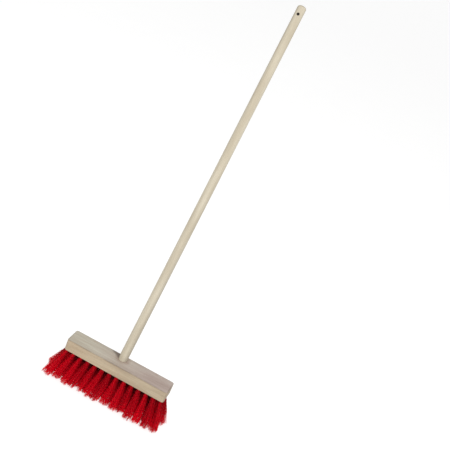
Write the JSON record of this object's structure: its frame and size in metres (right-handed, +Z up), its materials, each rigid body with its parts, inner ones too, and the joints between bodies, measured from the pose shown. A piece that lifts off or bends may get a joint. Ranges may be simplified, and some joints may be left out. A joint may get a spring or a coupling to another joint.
{
  "type": "push broom",
  "caption": "Wooden push broom: a rectangular beech block filled with rows of red plastic fibre tufts, on a long round handle that pushes into a slanted tapered socket.",
  "frame": {"origin": "on the floor, under the middle of the block, at the level of the trimmed fibre ends", "axes": "+X along the block, +Y towards the back, where the handle leans, +Z up"},
  "size_m": [0.3978, 0.5573, 1.2194],
  "materials": {
    "block_beech": "satin",
    "handle_beech": "satin",
    "bristle": "satin",
    "anchor_wire": "satin"
  },
  "bodies": {
    "handle": {"handle": "handle_beech"},
    "head": {"block": "block_beech", "tuft_anchors": "anchor_wire", "tuft_front_1": "bristle", "tuft_front_2": "bristle", "tuft_front_3": "bristle", "tuft_front_4": "bristle", "tuft_front_5": "bristle", "tuft_front_6": "bristle", "tuft_front_7": "bristle", "tuft_front_8": "bristle", "tuft_front_9": "bristle", "tuft_front_10": "bristle", "tuft_front_11": "bristle", "tuft_front_12": "bristle", "tuft_front_13": "bristle", "tuft_front_14": "bristle", "tuft_front_middle_1": "bristle", "tuft_front_middle_2": "bristle", "tuft_front_middle_3": "bristle", "tuft_front_middle_4": "bristle", "tuft_front_middle_5": "bristle", "tuft_front_middle_6": "bristle", "tuft_front_middle_7": "bristle", "tuft_front_middle_8": "bristle", "tuft_front_middle_9": "bristle", "tuft_front_middle_10": "bristle", "tuft_front_middle_11": "bristle", "tuft_front_middle_12": "bristle", "tuft_front_middle_13": "bristle", "tuft_rear_middle_1": "bristle", "tuft_rear_middle_2": "bristle", "tuft_rear_middle_3": "bristle", "tuft_rear_middle_4": "bristle", "tuft_rear_middle_5": "bristle", "tuft_rear_middle_6": "bristle", "tuft_rear_middle_7": "bristle", "tuft_rear_middle_8": "bristle", "tuft_rear_middle_9": "bristle", "tuft_rear_middle_10": "bristle", "tuft_rear_middle_11": "bristle", "tuft_rear_middle_12": "bristle", "tuft_rear_middle_13": "bristle", "tuft_rear_middle_14": "bristle", "tuft_rear_1": "bristle", "tuft_rear_2": "bristle", "tuft_rear_3": "bristle", "tuft_rear_4": "bristle", "tuft_rear_5": "bristle", "tuft_rear_6": "bristle", "tuft_rear_7": "bristle", "tuft_rear_8": "bristle", "tuft_rear_9": "bristle", "tuft_rear_10": "bristle", "tuft_rear_11": "bristle", "tuft_rear_12": "bristle", "tuft_rear_13": "bristle"}
  },
  "joints": [
    {"name": "head_pull", "type": "slide", "parent": "handle", "child": "head", "axis": [0, -0.4067, -0.9135], "range_m": [0, 0.03]}
  ]
}
